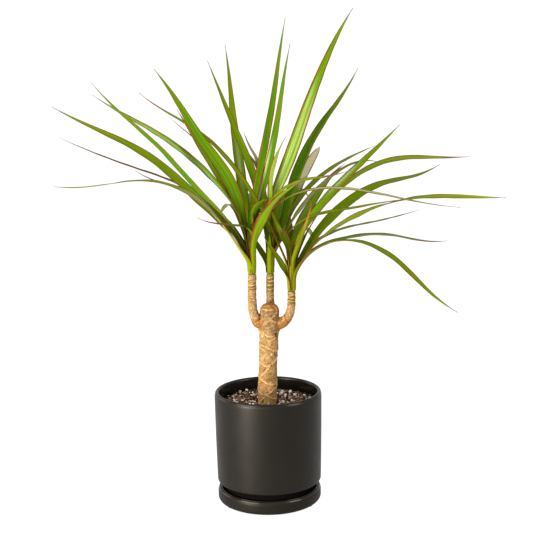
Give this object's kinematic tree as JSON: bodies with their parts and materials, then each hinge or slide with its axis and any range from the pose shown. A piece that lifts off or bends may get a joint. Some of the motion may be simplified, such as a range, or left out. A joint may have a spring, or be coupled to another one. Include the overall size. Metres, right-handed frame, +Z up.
{
  "type": "potted dracaena",
  "caption": "Small potted dracaena: a bare cut cane with side shoots ending in crowns of narrow arching red-edged leaves, in a dark cylindrical ceramic planter with a matching saucer.",
  "frame": {"origin": "centre of the saucer's flat sole, on the surface that the plant stands on", "axes": "+Z up along the pot's axis, -Y towards the viewer of the picture, +X to the viewer's right"},
  "size_m": [0.4971, 0.3557, 0.5316],
  "materials": {
    "saucer_ceramic": "satin",
    "pot_ceramic": "satin",
    "soil": "matte",
    "bark": "matte",
    "leaf": "satin"
  },
  "bodies": {
    "root": {"saucer": "saucer_ceramic", "pot": "pot_ceramic", "soil": "soil", "cane": "bark", "crown_left": "leaf", "crown_middle": "leaf", "crown_right": "leaf"}
  },
  "joints": []
}
